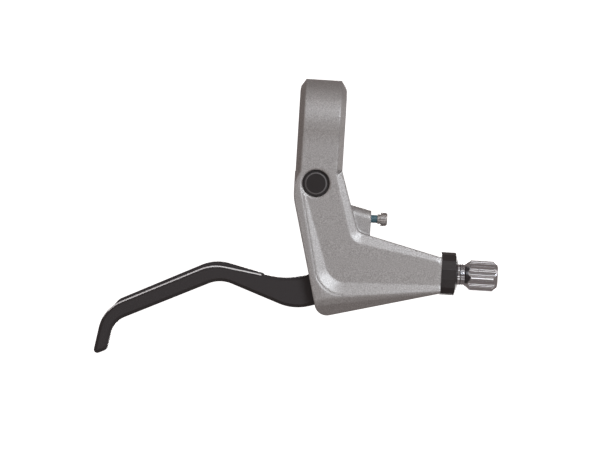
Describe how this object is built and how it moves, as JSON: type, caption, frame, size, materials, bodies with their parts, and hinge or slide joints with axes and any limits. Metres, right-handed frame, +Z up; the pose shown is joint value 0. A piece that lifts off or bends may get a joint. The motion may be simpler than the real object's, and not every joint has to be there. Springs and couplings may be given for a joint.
{
  "type": "bicycle brake lever",
  "caption": "Brake lever on a handlebar clamp: a cast bracket with a sunk front panel, a bent finger blade on a pivot pin, a reach screw and a fluted cable adjuster with a lock ring.",
  "frame": {"origin": "centre of the handlebar clamp, on the bar's axis at the middle of the clamp band", "axes": "+X along the bar towards the cable adjuster, +Z up from the lever towards the bar, +Y from the front face to the rear"},
  "size_m": [0.16, 0.037, 0.1153],
  "materials": {
    "silver_paint": "satin",
    "black_alloy": "satin",
    "black_steel": "satin",
    "bare_steel": "satin",
    "bush_plastic": "matte",
    "bright_alloy": "polished",
    "black_ring": "satin"
  },
  "bodies": {
    "bracket_body": {"bracket": "silver_paint", "clamp_bolt": "bare_steel"},
    "axle_body": {"lever_axle": "black_steel", "axle_washer": "bare_steel", "axle_clip": "bare_steel"},
    "lever_body": {"lever_blade": "black_alloy", "front_bush": "bush_plastic", "rear_bush": "bush_plastic"},
    "reach_body": {"reach_screw": "bare_steel"},
    "lock_body": {"lock_ring": "black_ring"},
    "barrel_body": {"barrel_adjuster": "bright_alloy"}
  },
  "joints": [
    {"name": "reach_setting", "type": "hinge", "parent": "bracket_body", "child": "axle_body", "pos_m": [-0.0009, -0.003, -0.0258], "axis": [0, 1, 0], "range_deg": [0, 11]},
    {"name": "lever_pull", "type": "hinge", "parent": "axle_body", "child": "lever_body", "pos_m": [-0.0009, -0.003, -0.0258], "axis": [0, 1, 0], "range_deg": [0, 27]},
    {"name": "reach_screw_travel", "type": "slide", "parent": "bracket_body", "child": "reach_body", "axis": [-1, 0, 0], "range_m": [0, 0.0022]},
    {"name": "adjuster_travel", "type": "slide", "parent": "bracket_body", "child": "lock_body", "axis": [1, 0, 0], "range_m": [0, 0.006]},
    {"name": "barrel_turn", "type": "hinge", "parent": "lock_body", "child": "barrel_body", "pos_m": [0.06, -0.003, -0.0588], "axis": [1, 0, 0], "range_deg": [0, 2160]}
  ],
  "couplings": [
    {"joint": "reach_setting", "follows": "reach_screw_travel", "rad_per_m": 87.2},
    {"joint": "barrel_turn", "follows": "adjuster_travel", "rad_per_m": 6283}
  ]
}
